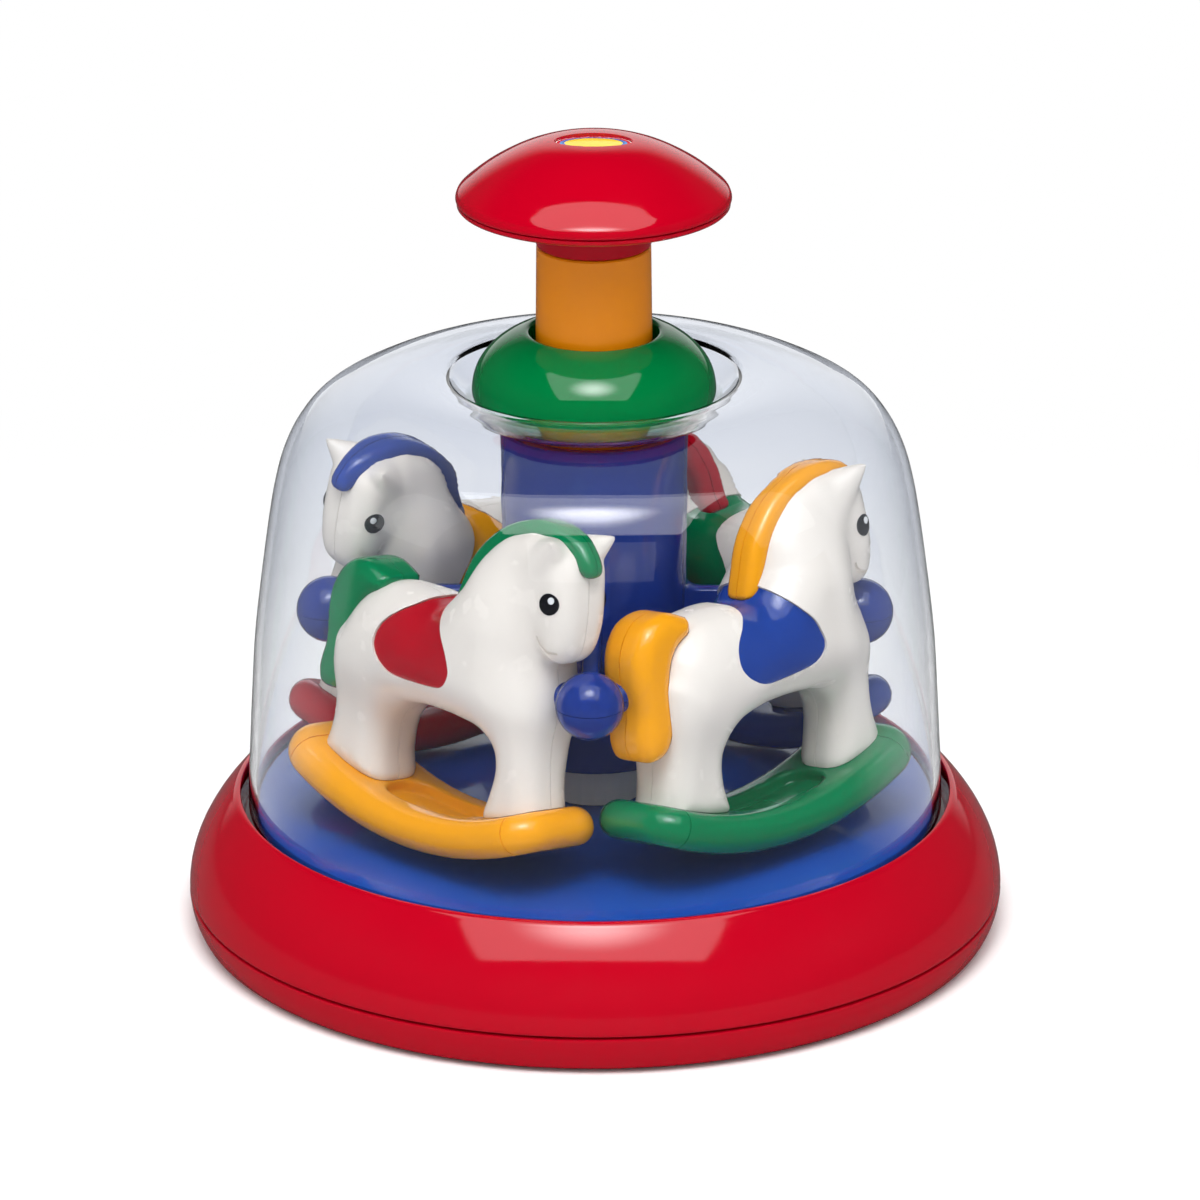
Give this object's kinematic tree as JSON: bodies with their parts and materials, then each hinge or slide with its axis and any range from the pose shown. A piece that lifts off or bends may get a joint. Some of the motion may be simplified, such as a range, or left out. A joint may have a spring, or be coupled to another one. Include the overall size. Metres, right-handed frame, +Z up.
{
  "type": "push-and-spin carousel toy",
  "caption": "Round plastic toy: push the top knob and a carousel of rocking horses spins inside a clear dome on a red base.",
  "frame": {"origin": "centre of the flat foot on the base's underside", "axes": "+Z up along the plunger and the spindle; -Y is the front, towards the viewer of the picture"},
  "size_m": [0.1998, 0.1998, 0.1996],
  "materials": {
    "base_red": "gloss",
    "screw_steel": "plain",
    "floor_blue": "high gloss",
    "dome_clear": "clear gloss",
    "collar_green": "gloss",
    "inner_white": "satin",
    "knob_red": "gloss",
    "badge_white": "gloss",
    "stem_amber": "gloss",
    "spring_steel": "plain",
    "spider_blue": "gloss",
    "horse_white": "soft gloss",
    "plastic_green": "gloss",
    "plastic_amber": "gloss",
    "plastic_blue": "gloss",
    "plastic_red": "gloss"
  },
  "bodies": {
    "base": {"base_tray": "base_red", "base_ring": "base_red", "base_screw_1": "screw_steel", "base_screw_2": "screw_steel", "base_screw_3": "screw_steel", "base_screw_4": "screw_steel", "floor_disc": "floor_blue", "dome": "dome_clear", "dome_collar": "collar_green", "centre_post": "inner_white", "post_sleeve": "inner_white", "thrust_washer": "screw_steel"},
    "plunger": {"knob_cap": "knob_red", "knob_disc": "knob_red", "knob_badge": "badge_white", "plunger_tube": "stem_amber", "drive_nut": "inner_white", "return_spring": "spring_steel"},
    "spindle": {"drive_spindle": "inner_white", "clutch_driver": "inner_white"},
    "carousel": {"spider_upper": "spider_blue", "spider_lower": "spider_blue"},
    "horse_1": {"horse_1_body_outer": "horse_white", "horse_1_body_inner": "horse_white", "horse_1_mane": "plastic_green", "horse_1_saddle": "plastic_red", "horse_1_tail": "plastic_green", "horse_1_rocker": "plastic_amber"},
    "horse_2": {"horse_2_body_outer": "horse_white", "horse_2_body_inner": "horse_white", "horse_2_mane": "plastic_amber", "horse_2_saddle": "plastic_blue", "horse_2_tail": "plastic_amber", "horse_2_rocker": "plastic_green"},
    "horse_3": {"horse_3_body_outer": "horse_white", "horse_3_body_inner": "horse_white", "horse_3_mane": "plastic_red", "horse_3_saddle": "plastic_green", "horse_3_tail": "plastic_red", "horse_3_rocker": "plastic_blue"},
    "horse_4": {"horse_4_body_outer": "horse_white", "horse_4_body_inner": "horse_white", "horse_4_mane": "plastic_blue", "horse_4_saddle": "plastic_amber", "horse_4_tail": "plastic_blue", "horse_4_rocker": "plastic_red"}
  },
  "joints": [
    {"name": "plunger_slide", "type": "slide", "parent": "base", "child": "plunger", "axis": [0, 0, -1], "range_m": [0, 0.02], "stiffness_N_per_m": 150, "springref_m": -0.01, "deforming": ["return_spring"]},
    {"name": "spindle_spin", "type": "hinge", "parent": "base", "child": "spindle", "pos_m": [0, 0, 0.05], "axis": [0, 0, 1], "range_deg": [0, 125]},
    {"name": "carousel_spin", "type": "hinge", "parent": "base", "child": "carousel", "pos_m": [0, 0, 0.08], "axis": [0, 0, 1], "continuous": true},
    {"name": "horse_1_swing", "type": "hinge", "parent": "carousel", "child": "horse_1", "pos_m": [-0.03265, -0.03265, 0.0801], "axis": [-0.7071, 0.7071, 0], "range_deg": [0, 5]},
    {"name": "horse_2_swing", "type": "hinge", "parent": "carousel", "child": "horse_2", "pos_m": [0.03265, -0.03265, 0.0801], "axis": [-0.7071, -0.7071, 0], "range_deg": [0, 5]},
    {"name": "horse_3_swing", "type": "hinge", "parent": "carousel", "child": "horse_3", "pos_m": [0.03265, 0.03265, 0.0801], "axis": [0.7071, -0.7071, 0], "range_deg": [0, 5]},
    {"name": "horse_4_swing", "type": "hinge", "parent": "carousel", "child": "horse_4", "pos_m": [-0.03265, 0.03265, 0.0801], "axis": [0.7071, 0.7071, 0], "range_deg": [0, 5]}
  ],
  "couplings": [
    {"joint": "spindle_spin", "follows": "plunger_slide", "rad_per_m": 104.72}
  ]
}
